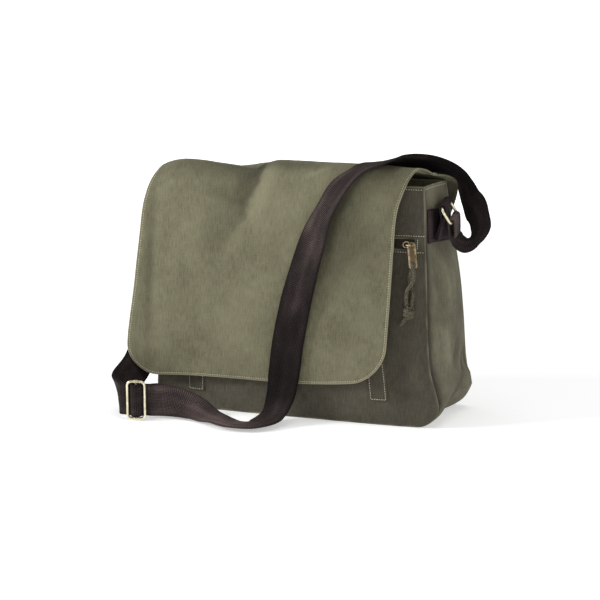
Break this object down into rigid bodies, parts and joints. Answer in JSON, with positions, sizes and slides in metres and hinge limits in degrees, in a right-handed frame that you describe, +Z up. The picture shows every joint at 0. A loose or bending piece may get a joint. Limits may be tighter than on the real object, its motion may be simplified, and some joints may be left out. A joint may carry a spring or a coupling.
{
  "type": "dispatch bag",
  "caption": "Soft canvas shoulder bag with a deep front flap, a gusseted body, a zip pocket with a cord pull, and a webbing strap on brass loops and a slide adjuster.",
  "frame": {"origin": "middle of the flat base, on the ground", "axes": "+X to the right of the bag seen from the front, along its width; +Y to its back; +Z up"},
  "size_m": [0.448, 0.2168, 0.3235],
  "materials": {
    "canvas_body": "washed canvas",
    "canvas_flap": "washed canvas",
    "webbing": "woven webbing",
    "cord": "twisted cord",
    "pale_brass": "polished",
    "old_brass": "aged"
  },
  "bodies": {
    "root": {"front_panel": "canvas_body", "back_panel": "canvas_body", "gusset": "canvas_body", "flap": "canvas_flap", "closure_tape_left": "canvas_body", "closure_tape_right": "canvas_body", "zip_tape": "canvas_body", "zip_chain": "old_brass", "zip_slider": "old_brass", "zip_pull": "old_brass", "pull_cord": "cord", "pull_knot": "cord", "side_band_left": "webbing", "side_band_right": "webbing", "ring_tab_left": "webbing", "ring_tab_right": "webbing", "ring_left": "pale_brass", "ring_right": "pale_brass", "shoulder_strap": "webbing", "strap_return": "webbing", "strap_slider": "pale_brass"}
  },
  "joints": []
}
